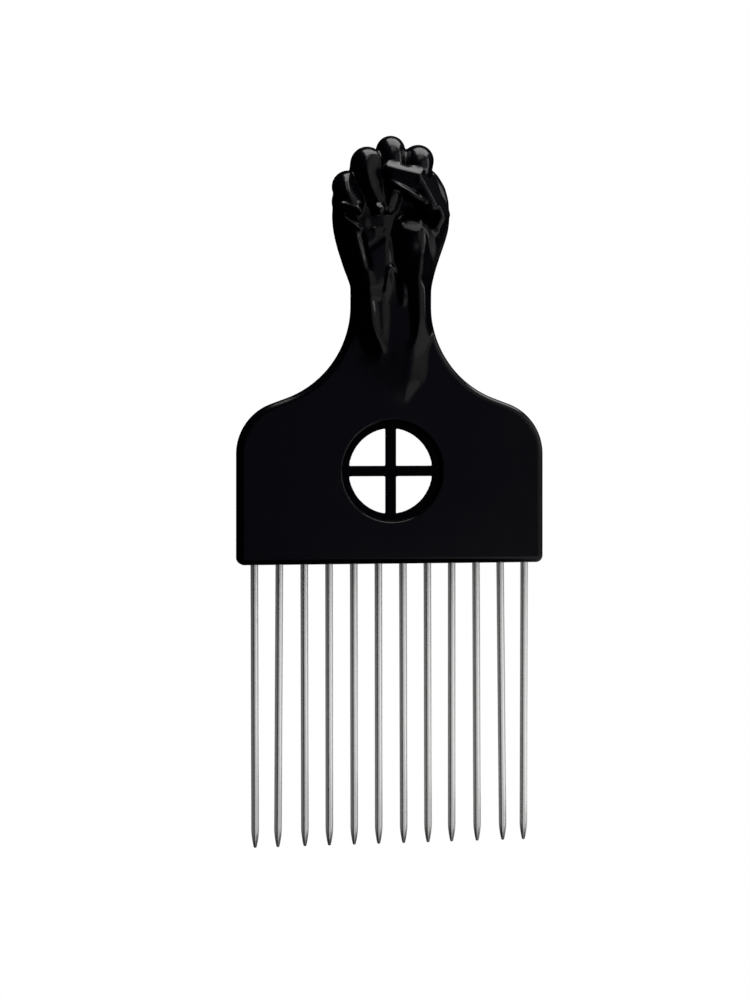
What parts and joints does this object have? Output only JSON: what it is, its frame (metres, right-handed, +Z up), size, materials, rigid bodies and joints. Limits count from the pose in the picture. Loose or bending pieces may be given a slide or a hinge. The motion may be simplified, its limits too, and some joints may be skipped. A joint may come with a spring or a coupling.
{
  "type": "hair pick",
  "caption": "Upright hair pick with a black moulded plate, a round window with a cross, a fist-shaped handle on top and a row of long round steel pins below.",
  "frame": {"origin": "bottom centre: level of the pin points, middle of the pin row, on the plate's mid-plane", "axes": "+Z up from the pin points to the top of the fist; +X along the pin row, to the right when the palm side faces the viewer; +Y through the plate, from the palm side to the back of the hand"},
  "size_m": [0.072, 0.0202, 0.165],
  "materials": {
    "handle_plastic": "glossy black moulded plastic",
    "pin_steel": "drawn and ground steel wire, plated"
  },
  "bodies": {
    "root": {"handle": "handle_plastic", "tine_01": "pin_steel", "tine_02": "pin_steel", "tine_03": "pin_steel", "tine_04": "pin_steel", "tine_05": "pin_steel", "tine_06": "pin_steel", "tine_07": "pin_steel", "tine_08": "pin_steel", "tine_09": "pin_steel", "tine_10": "pin_steel", "tine_11": "pin_steel", "tine_12": "pin_steel"}
  },
  "joints": []
}
